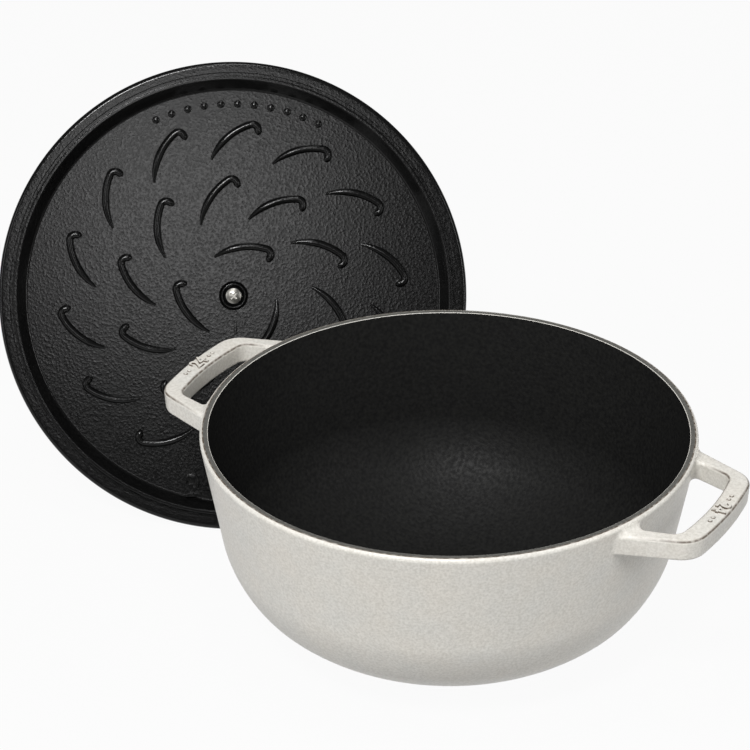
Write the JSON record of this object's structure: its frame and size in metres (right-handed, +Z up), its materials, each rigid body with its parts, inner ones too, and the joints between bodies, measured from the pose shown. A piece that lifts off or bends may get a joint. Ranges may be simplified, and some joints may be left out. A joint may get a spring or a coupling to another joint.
{
  "type": "round cocotte",
  "caption": "Round-bottomed enamelled cast-iron cocotte with two loop handles and a ribbed lid that stands on edge beside it.",
  "frame": {"origin": "centre of the pot's foot, on the surface it stands on", "axes": "+Z up; the two loop handles lie along +X and -X; the lid stands behind the -X handle"},
  "size_m": [0.4388, 0.2829, 0.228],
  "materials": {
    "pot": "off-white enamel outside, matte black enamel inside, bare rim",
    "lid": "matte black enamel over sand-cast iron",
    "knob": "plain satin steel",
    "knob_screw": "bright steel"
  },
  "bodies": {
    "pot": {"pot": "pot"},
    "lid": {"lid": "lid", "knob": "knob", "knob_screw": "knob_screw"}
  },
  "joints": [
    {"name": "lid_lift", "type": "slide", "parent": "pot", "child": "lid", "axis": [-0.25, 0.3886, 0.8868], "range_m": [0, 0.14]}
  ]
}
